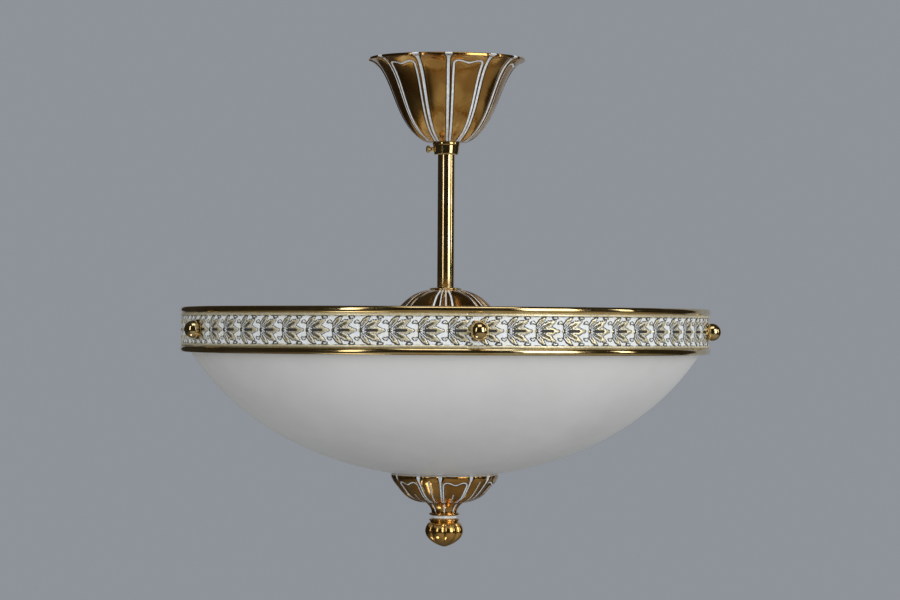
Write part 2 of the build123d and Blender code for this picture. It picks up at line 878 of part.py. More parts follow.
def finial():
    """Neck, astragal, groove, bead ring and gadrooned knob, with a blind threaded hole."""
    waist = finial_top - neck_height
    astragal_bottom = waist - astragal_height
    groove_bottom = astragal_bottom - groove_height
    bead_bottom = groove_bottom - bead_height
    neck = Spline((neck_top_r, finial_top), (neck_waist_r, waist), tangents=((-1, -0.5), (-0.1, -1)))
    places = stations(neck, neck_steps)
    places += rolled(neck_waist_r, astragal_r, waist, astragal_bottom)
    places += [(groove_r, astragal_bottom), (groove_r, groove_bottom)]
    places += rolled(groove_r, bead_r, groove_bottom, bead_bottom)
    knob = Spline(
        (knob_top_r, bead_bottom),
        (knob_r, bead_bottom - knob_height * knob_belly),
        (knob_tip_r, bead_bottom - knob_height),
        tangents=((1, -0.35), (-1, -0.35)))
    corners = 3 * finial_lobes
    round_points = polygon_points(corners, -180 / corners)
    sections = levels(round_points, places)
    sections += levels(lobe_points(finial_lobes), stations(knob, knob_steps))
    hole = upright(flats(rod_r + thread_gap), finial_top - finial_hole_depth, finial_top)
    return solid_stack(sections) - hole


parts["finial"] = finial()

os.makedirs("parts", exist_ok=True)
for name, shape in parts.items():
    export_step(shape, f"parts/{name}.step")
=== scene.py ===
import math

import bpy
import numpy as np
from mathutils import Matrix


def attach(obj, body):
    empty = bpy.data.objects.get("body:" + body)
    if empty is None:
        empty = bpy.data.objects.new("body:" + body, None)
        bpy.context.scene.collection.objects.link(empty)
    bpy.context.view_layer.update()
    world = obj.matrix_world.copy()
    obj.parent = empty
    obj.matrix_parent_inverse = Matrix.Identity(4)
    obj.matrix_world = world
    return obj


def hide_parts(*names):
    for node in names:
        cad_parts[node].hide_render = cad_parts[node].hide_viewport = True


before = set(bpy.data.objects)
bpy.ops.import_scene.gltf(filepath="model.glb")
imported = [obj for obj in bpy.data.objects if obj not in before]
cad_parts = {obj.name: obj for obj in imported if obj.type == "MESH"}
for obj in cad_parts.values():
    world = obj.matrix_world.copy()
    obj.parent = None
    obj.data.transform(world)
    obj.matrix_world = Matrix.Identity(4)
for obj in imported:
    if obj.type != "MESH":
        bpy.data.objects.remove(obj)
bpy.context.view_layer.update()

MM = 0.001
HAIR = 0.05              # how near to the axis (mm) an outline that meets it goes
FAR = 9.0                # a distance (mm) that counts as outside every line and leaf


# ---------------------------------------------------------------- shapes
def unit(vector):
    vector = np.asarray(vector, float)
    return vector / np.linalg.norm(vector)


def smooth(low, high, value):
    """0 below low, 1 above high, and an eased rise between them."""
    share = np.clip((value - low) / (high - low), 0.0, 1.0)
    return share * share * (3 - 2 * share)


def distance_along(path):
    """How far along a line each of its places is from its first."""
    return np.concatenate(([0], np.cumsum(np.linalg.norm(np.diff(path, axis=0), axis=1))))


def evenly(path, count):
    """The same line with its places at equal distances."""
    run = distance_along(path)
    wanted = np.linspace(0, run[-1], count)
    return np.column_stack([np.interp(wanted, run, path[:, axis]) for axis in range(path.shape[1])])


def smooth_run(knots, start, end, count):
    """A smooth line through the knots that leaves and arrives in the given directions."""
    knots = np.asarray(knots, float)
    steps = np.diff(knots, axis=0)
    spans = np.linalg.norm(steps, axis=1)
    size = len(knots)
    system, goal = np.eye(size), np.zeros((size, 2))
    goal[0], goal[-1] = unit(start), unit(end)
    for i in range(1, size - 1):
        before, after = spans[i - 1], spans[i]
        system[i, i - 1:i + 2] = after, 2 * (before + after), before
        goal[i] = 3 * (after / before * steps[i - 1] + before / after * steps[i])
    slopes = np.linalg.solve(system, goal)
    t = np.linspace(0, 1, 120)[:, None]
    parts = []
    for i, span in enumerate(spans):
        leaving = (2 * t**3 - 3 * t**2 + 1) * knots[i] + (t**3 - 2 * t**2 + t) * span * slopes[i]
        arriving = (3 * t**2 - 2 * t**3) * knots[i + 1] + (t**3 - t**2) * span * slopes[i + 1]
        parts.append(leaving + arriving)
    return evenly(np.vstack(parts), count)


def eased(corners, steps=4, closed=True):
    """An outline of (radius, height, ease), with each corner rounded by its ease."""
    most = 0.48           # of a side's length that a rounded corner may take
    places = []
    count = len(corners)
    for i, (r, z, ease) in enumerate(corners):
        here = np.array((r, z), float)
        at_end = not closed and i in (0, count - 1)
        if ease == 0 or at_end:
            places.append(here)
            continue
        back = np.array(corners[i - 1][:2], float) - here
        ahead = np.array(corners[(i + 1) % count][:2], float) - here
        cut = min(ease, most * np.linalg.norm(back), most * np.linalg.norm(ahead))
        start, end = here + unit(back) * cut, here + unit(ahead) * cut
        for t in np.linspace(0, 1, steps + 1):
            places.append((1 - t)**2 * start + 2 * t * (1 - t) * here + t**2 * end)
    return np.array(places)


def around(columns):
    """The azimuths of a piece's columns, in degrees."""
    return np.arange(columns) * 360.0 / columns


def placed(radius, angles, height):
    """Points at radii and heights, at angles in radians round the axis."""
    parts = radius * np.sin(angles), -radius * np.cos(angles), height
    return np.stack(np.broadcast_arrays(*parts), axis=-1)


def turned(outline, columns, scale=1.0):
    """Rows of points of an outline turned about the axis; scale varies the radius."""
    return placed(outline[:, :1] * scale, np.radians(around(columns)), outline[:, 1:2])


def laid(points, azimuth, height):
    """The same points with their own axis laid level, pointing outwards at an azimuth."""
    a = math.radians(azimuth)
    side, up, out = points[..., 0], points[..., 1], points[..., 2]
    x = out * math.sin(a) + side * math.cos(a)
    y = -out * math.cos(a) + side * math.sin(a)
    return np.stack([x, y, up + height], axis=-1)


def skin(points, ends):
    """Faces over rows of points: rows meet in a loop, or are closed by a cap at both ends."""
    rows, columns = points.shape[:2]
    index = np.arange(rows * columns).reshape(rows, columns)
    right = np.roll(index, -1, axis=1)
    below, corner = np.roll(index, -1, axis=0), np.roll(right, -1, axis=0)
    quads = np.stack([index, right, corner, below], axis=-1)
    if ends == "loop":
        return quads.reshape(-1, 4).tolist()
    return quads[:-1].reshape(-1, 4).tolist() + [index[0][::-1].tolist(), index[-1].tolist()]


def put_in(name, data):
    """A new object of this data, in the scene."""
    item = bpy.data.objects.new(name, data)
    bpy.context.scene.collection.objects.link(item)
    return item


def make_piece(name, points, material, body, nodes, ends="loop", masks=None, sharp=35):
    """A closed mesh in metres that rides on a body and stands for the CAD nodes it names."""
    faces = skin(points, ends)
    places = points.reshape(-1, 3)
    corners = places[np.array([face for face in faces if len(face) == 4])]
    across = np.cross(corners[:, 2] - corners[:, 0], corners[:, 3] - corners[:, 1])
    if (across * corners.mean(axis=1)).sum() < 0:      # they face inwards
        faces = [face[::-1] for face in faces]
    mesh = bpy.data.meshes.new(name)
    mesh.from_pydata((places * MM).tolist(), [], faces)
    for mask, values in (masks or {}).items():
        layer = mesh.attributes.new(mask, "FLOAT", "POINT")
        layer.data.foreach_set("value", np.asarray(values, np.float32).reshape(-1))
    mesh.shade_smooth()
    mesh.set_sharp_from_angle(angle=math.radians(sharp))
    mesh.materials.append(material)
    piece = put_in(name, mesh)
    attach(piece, body)
    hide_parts(*nodes)


# ---------------------------------------------------------------- materials
MIX_A, MIX_B, MIX_RESULT = 6, 7, 2      # the colour sockets of a Mix node


class Finish:
    """One procedural material and the nodes that it is made of."""

    def __init__(self, name, roughness=0.5, metallic=0.0, **sockets):
        self.material = bpy.data.materials.new(name)
        self.material.use_nodes = True
        self.tree = self.material.node_tree
        self.tree.nodes.clear()
        self.shader = self.add("ShaderNodeBsdfPrincipled")
        output = self.add("ShaderNodeOutputMaterial")
        self.join(self.shader.outputs[0], output.inputs["Surface"])
        self.shader.inputs["Roughness"].default_value = roughness
        self.shader.inputs["Metallic"].default_value = metallic
        for socket, value in sockets.items():
            self.shader.inputs[socket.replace("_", " ")].default_value = value
        self.place = self.add("ShaderNodeTexCoord").outputs["Object"]

    def add(self, kind, **settings):
        node = self.tree.nodes.new(kind)
        for key, value in settings.items():
            setattr(node, key, value)
        return node

    def join(self, source, target):
        self.tree.links.new(source, target)

    def noise(self, scale, detail=3.0):
        """Noise of the surface's own place, with about scale blotches a metre."""
        node = self.add("ShaderNodeTexNoise")
        node.inputs["Scale"].default_value = scale
        node.inputs["Detail"].default_value = detail
        self.join(self.place, node.inputs["Vector"])
        return node.outputs["Fac"]

    def mask(self, name):
        """A share that the mesh carries at its points."""
        return self.add("ShaderNodeAttribute", attribute_name=name).outputs["Fac"]

    def math(self, kind, first, second):
        node = self.add("ShaderNodeMath", operation=kind)
        for socket, value in zip(node.inputs, (first, second)):
            if isinstance(value, (int, float)):
                socket.default_value = value
            else:
                self.join(value, socket)
        return node.outputs[0]

    def span(self, source, low, high, to_low=0.0, to_high=1.0):
        """The source's range from low to high, moved to another range."""
        node = self.add("ShaderNodeMapRange", interpolation_type="SMOOTHSTEP")
        ends = {"From Min": low, "From Max": high, "To Min": to_low, "To Max": to_high}
        for key, value in ends.items():
            node.inputs[key].default_value = value
        self.join(source, node.inputs["Value"])
        return node.outputs[0]

    def blend(self, share, first, second):
        """Colours mixed by a share; each is three numbers or a socket."""
        node = self.add("ShaderNodeMix", data_type="RGBA")
        self.join(share, node.inputs["Factor"])
        for socket, value in ((MIX_A, first), (MIX_B, second)):
            if isinstance(value, tuple):
                node.inputs[socket].default_value = (*value, 1.0)
            else:
                self.join(value, node.inputs[socket])
        return node.outputs[MIX_RESULT]

    def colour(self, source):
        self.join(source, self.shader.inputs["Base Color"])

    def drive(self, socket, source):
        self.join(source, self.shader.inputs[socket])

    def bump(self, source, height, strength=1.0):
        """Relief of that many metres at a source of 1."""
        node = self.add("ShaderNodeBump")
        node.inputs["Distance"].default_value = height
        node.inputs["Strength"].default_value = strength
        self.join(source, node.inputs["Height"])
        self.join(node.outputs[0], self.shader.inputs["Normal"])


GOLD, DEEP_GOLD = (0.84, 0.68, 0.37), (0.71, 0.52, 0.22)
CAST_GOLD, CAST_DEEP = (0.80, 0.49, 0.15), (0.52, 0.27, 0.065)
WORN_GOLD = (0.34, 0.20, 0.07)
PATINA, PALE_PATINA = (0.66, 0.70, 0.73), (0.88, 0.90, 0.91)
PATINA_ROUGHNESS = 0.72
# The two colours of painted shade: the first beside the castings' grooves and panel lines and in the knob's
# valleys, the second in the frieze's hollows and creases and beside its leaves
PAINTED_SHADE, DEEP_PAINTED_SHADE = (0.045, 0.035, 0.022), (0.016, 0.013, 0.008)
CHALK, PALE_CHALK, WARM_CHALK = (0.66, 0.70, 0.73), (0.86, 0.88, 0.88), (0.78, 0.77, 0.69)
GILT, PALE_GILT = (0.78, 0.66, 0.36), (0.95, 0.89, 0.68)
OPAL, PALE_OPAL, PALEST_OPAL = (0.735, 0.735, 0.72), (0.78, 0.78, 0.765), (0.80, 0.80, 0.79)


def brass(name, patina=False, rough=0.13, cast=False):
    """Lacquered brass: warm, with cloudy tone, faint wear, and white patina and painted shade where the mesh
    says so.
    """
    finish = Finish(name, metallic=1.0, Coat_Weight=0.35, Coat_Roughness=0.06)
    dull, bright = (CAST_DEEP, CAST_GOLD) if cast else (DEEP_GOLD, GOLD)
    tone = finish.blend(finish.span(finish.noise(38.0), 0.38, 0.66), dull, bright)
    wear = finish.span(finish.noise(260.0, 5.0), 0.45, 0.7)
    tone = finish.blend(finish.math("MULTIPLY", wear, 0.16), tone, WORN_GOLD)
    roughness = finish.span(finish.noise(90.0, 4.0), 0.3, 0.75, rough * 0.75, rough * 1.6)
    if patina:
        speckle = finish.span(finish.noise(1500.0, 4.0), 0.3, 0.7, 0.86, 1.12)
        share = finish.span(finish.math("MULTIPLY", finish.mask("patina"), speckle), 0.42, 0.62)
        stain = finish.span(finish.noise(420.0, 4.0), 0.35, 0.72)
        # painted shade: where the dark mask says, the brass turns towards near-black
        edge = finish.span(finish.mask("dark"), 0.25, 0.8)
        tone = finish.blend(finish.math("MULTIPLY", edge, 0.85), tone, PAINTED_SHADE)
        tone = finish.blend(share, tone, finish.blend(stain, PATINA, PALE_PATINA))
        finish.drive("Metallic", finish.math("SUBTRACT", 1.0, share))
        matt = finish.add("ShaderNodeMapRange")
        matt.inputs["To Max"].default_value = PATINA_ROUGHNESS
        finish.join(share, matt.inputs["Value"])
        finish.join(roughness, matt.inputs["To Min"])
        roughness = matt.outputs[0]
    finish.colour(tone)
    finish.drive("Roughness", roughness)
    if cast:
        finish.bump(finish.noise(170.0, 2.0), 0.00035, 0.35)
    else:
        finish.bump(finish.noise(300.0, 2.0), 0.00001, 0.3)
    return finish.material


def frieze_brass():
    """The cast frieze: chalky blue-white ground, painted shade in its hollows and beside its leaves, gilt on
    its leaves.
    """
    finish = Finish("frieze_patina", roughness=0.4, Specular_IOR_Level=0.3)
    high, dark = finish.mask("high"), finish.mask("dark")
    speckle = finish.noise(1100.0, 4.0)
    chalk = finish.blend(finish.span(speckle, 0.3, 0.7), CHALK, PALE_CHALK)
    chalk = finish.blend(finish.span(finish.noise(120.0), 0.45, 0.75), chalk, WARM_CHALK)
    gilt = finish.blend(finish.span(finish.noise(700.0), 0.35, 0.65), GILT, PALE_GILT)
    ragged_high = finish.math("ADD", high, finish.span(speckle, 0.25, 0.75, -0.14, 0.14))
    ragged_dark = finish.math("ADD", dark, finish.span(speckle, 0.25, 0.75, -0.12, 0.12))
    share = finish.span(ragged_high, 0.38, 0.66)
    # painted shade: the dark mask turns the frieze near-black
    hollow = finish.span(ragged_dark, 0.26, 0.50)
    tone = finish.blend(share, chalk, gilt)
    finish.colour(finish.blend(finish.math("MULTIPLY", hollow, 0.96), tone, DEEP_PAINTED_SHADE))
    finish.drive("Metallic", finish.math("MULTIPLY", share, 0.55))
    finish.drive("Roughness", finish.span(share, 0.0, 1.0, 0.62, 0.27))
    finish.bump(speckle, 0.0001, 0.5)
    return finish.material


def plain(name, low, high, roughness, metallic=0.0, scale=150.0, relief=0.00004, **sockets):
    """A finish with a little cloudy tone, and roughness and relief that follow the same noise."""
    finish = Finish(name, metallic=metallic, **sockets)
    cloud = finish.noise(scale, 4.0)
    finish.colour(finish.blend(finish.span(cloud, 0.3, 0.7), low, high))
    finish.drive("Roughness", finish.span(cloud, 0.25, 0.75, roughness * 0.8, roughness * 1.2))
    finish.bump(cloud, relief, 0.5)
    return finish.material


def opal_glass():
    """Satin opal glass: white through and through, cloudy only faintly, with a soft sheen."""
    finish = Finish("opal_glass", roughness=0.42, Coat_Weight=0.12, Coat_Roughness=0.35)
    cloud = finish.span(finish.noise(14.0, 5.0), 0.3, 0.72)
    fine = finish.span(finish.noise(75.0, 3.0), 0.3, 0.7)
    tone = finish.blend(cloud, OPAL, PALE_OPAL)
    finish.colour(finish.blend(finish.math("MULTIPLY", fine, 0.25), tone, PALEST_OPAL))
    finish.drive("Roughness", finish.span(fine, 0.0, 1.0, 0.38, 0.46))
    return finish.material


polished = brass("polished_brass")
cast_brass = brass("cast_brass", patina=True, rough=0.15, cast=True)
turned_brass = brass("turned_brass", rough=0.10)
raw_brass = plain("raw_brass", (0.46, 0.30, 0.11), (0.62, 0.43, 0.18), 0.34, 1.0, 240.0)
frieze_finish = frieze_brass()
opal = opal_glass()
frosted = plain("frosted_lamp_glass", (0.78, 0.78, 0.76), (0.86, 0.86, 0.85), 0.38, 0.0, 60.0, 0.00002)
lamp_cap = plain("lamp_cap_metal", (0.46, 0.45, 0.43), (0.66, 0.64, 0.61), 0.3, 1.0, 400.0)
porcelain = plain("glazed_porcelain", (0.74, 0.73, 0.69), (0.83, 0.82, 0.78), 0.16, 0.0, 90.0, 0.00003,
                  Coat_Weight=0.5)
zinc = plain("zinc_steel", (0.42, 0.43, 0.45), (0.64, 0.65, 0.66), 0.32, 1.0, 330.0)
plated = plain("plated_steel", (0.50, 0.42, 0.26), (0.66, 0.58, 0.38), 0.3, 1.0, 210.0, 0.00003)
moulding = plain("terminal_plastic", (0.62, 0.61, 0.56), (0.72, 0.71, 0.66), 0.45, 0.0, 500.0)
rubber = plain("seal_rubber", (0.035, 0.034, 0.033), (0.06, 0.058, 0.056), 0.62, 0.0, 700.0, 0.00006)
silicone = plain("clear_silicone", (0.50, 0.50, 0.48), (0.58, 0.58, 0.56), 0.4, 0.0, 300.0)
insulation = plain("lead_insulation", (0.55, 0.54, 0.50), (0.66, 0.65, 0.60), 0.4, 0.0, 260.0)

# The finishes of the CAD nodes that no piece here stands for.
CAD_FINISHES = {
    "ceiling_bracket": zinc, "earth_screw": raw_brass, "block_screw": zinc, "terminal_block": moulding,
    "clamp_screws": zinc, "suspension_tube": zinc, "tube_nuts": zinc, "tube_washers": zinc,
    "canopy_ring_nut": zinc, "hub": raw_brass, "cluster_body": plated, "cluster_lid": plated,
    "rod_coupler": raw_brass, "lamp_leads": insulation, "bowl_grommet": rubber, "bowl_gasket": silicone,
    "centre_rod": zinc,
}
# How far (mm) the sharp edges of the larger of these solids are broken.
ARRIS = {"ceiling_bracket": 0.35, "hub": 0.8, "cluster_body": 1.2, "cluster_lid": 0.5, "rod_coupler": 0.5,
         "terminal_block": 0.4, "tube_nuts": 0.4, "canopy_ring_nut": 0.5}


def finish_node(name, finish):
    """Gives a CAD node that stays in view its finish and, where ARRIS names it, softer edges."""
    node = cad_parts[name]
    if not node.data.materials:
        node.data.materials.append(finish)
    for index in range(len(node.data.materials)):
        node.data.materials[index] = finish
    if name in ARRIS:
        bevel = node.modifiers.new("arris", "BEVEL")
        bevel.width, bevel.segments, bevel.limit_method = ARRIS[name] * MM, 2, "ANGLE"
        bevel.angle_limit = math.radians(40)


for node_name, node_finish in CAD_FINISHES.items():
    finish_node(node_name, node_finish)


# ---------------------------------------------------------------- petalled castings
PAIR, WIDE = 60.0, 35.0          # degrees of a wide and a narrow petal together, and of the wide one


def panel_lines(x, run, room, growth, wide, top, border, dip, line, end, spur):
    """How far each place is outside the panels of the wide petals, and the lines that are cut there.

    x and run are a place's distances from its petal's middle line and from the rim. room is the
    half width of its petal inside the grooves, and growth its radius as a share of the largest.
    top is the distance of a panel's top from the rim, border the land beside it, dip the depth of
    the notch in its top, line the half width of its outline, end its foot as a share of the run,
    and spur the half width of the line up its middle.
    """
    bottom = end * run.max()
    side = room - border * (0.25 + 0.75 * growth**1.5)
    top_line = top + dip * (np.exp(-(x / (0.36 * np.maximum(side, 0.5)))**2) - 0.35)
    corner = np.minimum(3.6, np.maximum(side * 0.5, 0.2))
    out_x = np.abs(x) - (side - corner)
    out_y = np.maximum(top_line + corner - run, run - (bottom - corner))
    apart = np.hypot(np.maximum(out_x, 0), np.maximum(out_y, 0))
    apart = apart + np.minimum(np.maximum(out_x, out_y), 0) - corner
    apart = np.where(wide & (side > 0.8), apart, FAR)
    cut = np.exp(-(apart / line)**4)
    if spur:
        tip = 0.5 * run.max()
        spine = np.exp(-(x / spur)**4) * smooth(tip, tip + 1.5, run) * wide * (apart < 0)
        cut = np.maximum(cut, spine)
    return apart, cut


def petals(radius, run, columns, start, groove, depth, crown, panel=None, split=None):
    """How far a casting's face lies below its round form, where patina stays, and where shade is painted.

    radius and run are each row's radius and its distance from the rim. start is the azimuth of a
    wide petal's side. groove and depth are the half width and depth of the grooves, and crown is
    how far a petal falls away at its sides. panel says what is sunk in the wide petals. split has
    the half width of the lines down each narrow petal, and their place as a share of its half width.
    """
    turn = (around(columns)[None, :] - start) % PAIR
    wide = turn < WIDE
    centre = np.where(wide, WIDE / 2, (PAIR + WIDE) / 2)
    half_angle = np.where(wide, WIDE / 2, (PAIR - WIDE) / 2)
    reach = np.radians(1.0) * radius[:, None]
    growth = reach / reach.max()
    x, half = (turn - centre) * reach, half_angle * reach
    run = run[:, None]

    # the flared grooves, the bead beside each, and the crown of the petals between them
    flare = groove * (0.55 + 0.45 * growth) * (1 + 1.3 * np.exp(-(run / 3.6)**2))
    inside = half - np.abs(x)
    bed = 1 - smooth(flare * 0.55, flare * 1.15, inside)
    fall = np.where(wide, 0.8, 1.3) * np.abs(x / half)**2.6 * (1 - bed)
    bead = np.exp(-((inside - flare * 1.9) / (flare * 0.6))**2) * (1 - bed) * (half / half.max())
    sunk = depth * bed * smooth(-0.2, 0.6, growth) + crown * fall - 0.5 * bead
    patina = bed
    # painted shade: a dark line beside each groove
    dark = np.exp(-((inside - flare * 1.2) / (0.36 * flare))**2) * (1 - bed)

    if panel:
        apart, cut = panel_lines(x, run, half - flare, growth, wide, **panel)
        sunk = sunk + 0.6 * cut + 0.75 * smooth(0.0, -2.2, apart)
        patina = np.maximum(patina, cut)
        # painted shade beside each panel outline
        beside = np.exp(-((np.abs(apart) - panel["line"] * 1.4) / 0.36)**2) * (apart < 2)
        dark = np.maximum(dark, 0.9 * beside)
    if split:
        lines = np.exp(-((np.abs(x) - split["place"] * half) / split["line"])**4)
        lines = np.where(wide, 0.0, lines) * smooth(2.5, 4.5, run)
        sunk, patina = sunk + 0.5 * lines, np.maximum(patina, lines)
    return sunk, patina, dark


def casting(name, body, node, outline, wall, edge, bore, columns, **petal_plan):
    """A bell or cup with a grooved face, a rolled rim and a plain inside.

    The outline goes from the rim to the floor, where bore is the hole's radius. edge is how far
    the rim stands past the outline's first place.
    """
    up = 1.0 if outline[0, 1] > outline[-1, 1] else -1.0
    along = np.gradient(outline, axis=0)
    along = along / np.linalg.norm(along, axis=1)[:, None]
    outwards = np.column_stack([-along[:, 1], along[:, 0]]) * up
    run = distance_along(outline)
    sunk, patina, dark = petals(outline[:, 0], run, columns, **petal_plan)
    sunk = sunk * (0.25 + 0.75 * smooth(0.0, 5.0, run[-1] - run)[:, None])
    angles = np.radians(around(columns))
    face = turned(outline, columns) + placed(-sunk * outwards[:, :1], angles, -sunk * outwards[:, 1:])

    rim_r, rim_z = outline[0]
    behind, edge_z = rim_r - wall, rim_z + edge * up
    lip = eased([(rim_r, rim_z, 0), (rim_r, edge_z, 0.9), (behind, edge_z, 0.9),
                 (behind - 0.3, rim_z - 0.2 * up, 0)], closed=False)[1:]
    lost = 1 - np.hypot(face[0, :, 0], face[0, :, 1]) / rim_r
    lip_rows = turned(lip, columns, 1 - lost * np.linspace(1.0, 0.6, len(lip))[:, None])

    inner = (outline - outwards * wall)[4::5]          # a plain side needs fewer rows
    floor_z = outline[-1, 1]
    hole = [(bore, floor_z + wall * up * 0.98), (bore, floor_z)]
    inner = np.vstack([inner[inner[:, 0] > bore + 0.5], hole])
    points = np.vstack([face[::-1], lip_rows, turned(inner, columns)])
    clean = np.zeros((len(points) - len(face), columns))
    lip_patina = clean.copy()
    lip_patina[:3] = patina[0]
    masks = {"patina": np.vstack([patina[::-1], lip_patina]), "dark": np.vstack([dark[::-1], clean])}
    make_piece(name, points, cast_brass, body, [node], masks=masks, sharp=50)


def canopy():
    """The bell that opens upwards against the ceiling."""
    knots = (61.99, -2.2), (47.6, -18.7), (34.0, -50.0), (16.5, -66.8)
    line = smooth_run(knots, (-1, -0.3), (-1, -0.35), 118)
    casting("canopy_cast", "canopy", "canopy", line, wall=2.6, edge=2.2, bore=9.0, columns=640,
            start=1.5, groove=1.45, depth=1.5, crown=1.35,
            panel=dict(top=8.6, border=3.5, dip=2.0, line=0.86, end=1.3, spur=0))


def dome_cap():
    """The cap over the hub, from its base up to the disc."""
    knots = (52.0, -212.1), (38.5, -198.5), (29.0, -190.1), (14.0, -184.1)
    line = smooth_run(knots, (-0.35, 1), (-1, 0.12), 84)
    casting("dome_cap_cast", "root", "dome_cap", line, wall=2.2, edge=1.5, bore=5.5, columns=640,
            start=9.5, groove=1.0, depth=1.35, crown=1.3, split=dict(line=0.5, place=0.3))


def bottom_cup():
    """The cup under the bowl, from its rim down to the finial's neck."""
    knots = (42.6, -331.28), (38.2, -339.1), (30.0, -347.9), (18.0, -352.38)
    line = smooth_run(knots, (-0.1, -1), (-1, -0.1), 86)
    casting("bottom_cup_cast", "bowl", "bottom_cup", line, wall=2.4, edge=1.0, bore=3.6, columns=600,
            start=-4.5, groove=0.8, depth=1.1, crown=1.15,
            panel=dict(top=5.6, border=1.5, dip=2.3, line=0.62, end=1.3, spur=0.46),
            split=dict(line=0.5, place=0.0))


canopy()
dome_cap()
bottom_cup()


# ---------------------------------------------------------------- turned brass
SCREW_AZIMUTH, SCREW_Z = -90.0, -72.3


def turned_piece(name, corners, columns, body, node, steps=4):
    """A piece of turned brass from its section's corners."""
    points = turned(eased(corners, steps), columns)
    make_piece(name, points, turned_brass, body, [node])


def set_screw():
    """The thumb screw's waisted, knobbed head, level on the collar's left side."""
    rows = eased([
        (2.0, 7.0, 0), (2.0, 10.4, 0.2), (1.75, 10.9, 0.3), (1.55, 11.9, 0.5), (1.75, 12.9, 0.4),
        (2.75, 13.35, 0.5), (3.0, 13.9, 0.4), (3.0, 15.1, 0.5), (2.2, 15.9, 0.6), (1.2, 16.15, 0.3),
        (0.1, 16.2, 0),
    ], closed=False)
    points = laid(turned(rows, 48), SCREW_AZIMUTH, SCREW_Z)
    make_piece("set_screw_head", points, turned_brass, "set_screw",
               ["canopy_set_screw"], ends="caps")


turned_piece("collar_turned", [
    (6.8, -76.7, 0.3), (9.35, -76.7, 0.5), (9.7, -75.9, 0.5), (10.55, -69.2, 0.8), (10.9, -68.4, 0.4),
    (10.9, -66.85, 0.4), (8.2, -66.8, 0.1), (8.2, -58.3, 0.4), (6.8, -58.3, 0.3),
], 128, "canopy", "canopy_collar")
set_screw()
turned_piece("stem_tube", [
    (5.8, -182.05, 0.2), (6.75, -182.05, 0.25), (6.75, -28.3, 0.25), (5.8, -28.3, 0.2),
], 96, "root", "stem_sleeve")
turned_piece("stem_disc_turned", [
    (5.4, -184.05, 0.1), (12.2, -184.05, 0.3), (12.7, -183.3, 0.5), (12.7, -182.9, 0.5), (11.9, -182.3, 0.6),
    (7.4, -182.15, 0.3), (5.4, -182.15, 0.1),
], 112, "root", "stem_disc")

# ---------------------------------------------------------------- ring, frieze and balls
SEGMENT = 72.0                   # degrees from one arm to the next
ARMS = [6.8 + SEGMENT * arm for arm in range(5)]
ARM_Z = -216.3
RING_TOP, RING_BOTTOM = -198.3, -234.3
# One moulding: radius, distance in from the ring's edge, and ease. The other mirrors it.
MOULDING = ((205.0, 0.0, 0.6), (208.4, 0.0, 0.7), (209.3, 0.5, 0.5), (210.0, 1.7, 1.0), (210.0, 3.5, 1.0),
            (209.2, 4.7, 0.7), (208.4, 5.25, 0.3), (206.8, 5.3, 0.1))
turned_piece("ring_mouldings",
             [(r, RING_BOTTOM + z, ease) for r, z, ease in MOULDING]
             + [(r, RING_TOP - z, ease) for r, z, ease in reversed(MOULDING)],
             420, "root", "rim_ring", steps=3)

REPEATS = 12                     # of the leaf cluster in one segment
STEP_U, STEP_V = 48, 50          # rows along a repeat and across the strip
MEAN_R, GROUND_R, BACK_R = 208.5, 208.15, 206.9
HALF_STRIP = 12.6
JOINT = 0.02                     # degrees left free at each end of a segment
SEAT, SEAT_R = 8.4, 208.58       # so near to an arm (mm) the relief stays under this radius
# Each leaf of a cluster: base, bend and tip along and across the strip, half width, height.
LEAVES = (
    ((1.4, 0.0), (8.5, 0.0), (17.8, 0.0), 2.6, 1.0),
    ((1.4, 1.1), (6.6, 3.1), (14.8, 7.5), 2.25, 0.95),
    ((0.5, 1.6), (1.5, 5.4), (6.8, 9.8), 1.6, 0.85),
    ((17.4, 5.4), (19.4, 7.4), (20.4, 5.2), 0.7, 0.55),
    ((13.2, 9.7), (15.0, 10.2), (16.8, 9.4), 0.6, 0.5),
)


def both_sides(leaves):
    """The leaves, with each one that is off the strip's middle line mirrored in it."""
    for *places, half_width, tall in leaves:
        for side in (1,) if places[0][1] == 0 else (-1, 1):
            yield *((along, across * side) for along, across in places), half_width, tall


def leaf(u, v, base, bend, tip, half_width, tall):
    """One leaf over a grid: height, share from base to tip, distance outside it, and hollow."""
    share = np.linspace(0, 1, 48)[:, None]
    spine = (1 - share)**2 * base + 2 * share * (1 - share) * bend + share**2 * tip
    gaps = np.hypot(u[..., None] - spine[:, 0], v[..., None] - spine[:, 1])
    place = share[gaps.argmin(axis=-1), 0]
    away = gaps.min(axis=-1)
    notch = 1 + 0.12 * np.sin(place * 20.0)
    width = half_width * np.sin(np.pi * np.clip(place, 0.03, 0.985)**1.25)**0.6 * notch
    inside = np.clip(1 - (away / width)**2, 0, 1)
    crown = tall * np.sqrt(inside) * (0.35 + 0.65 * place)
    hollow = smooth(0.72, 0.42, away / (width * (1.1 - 0.75 * place))) * smooth(0.10, 0.3, away)
    hollow = hollow * smooth(0.06, 0.16, place) * smooth(0.84, 0.7, place) * (half_width > 1)
    height = np.where(inside > 0, np.maximum(crown - 0.6 * hollow, 0.02), 0)
    return height, place, away - width, hollow


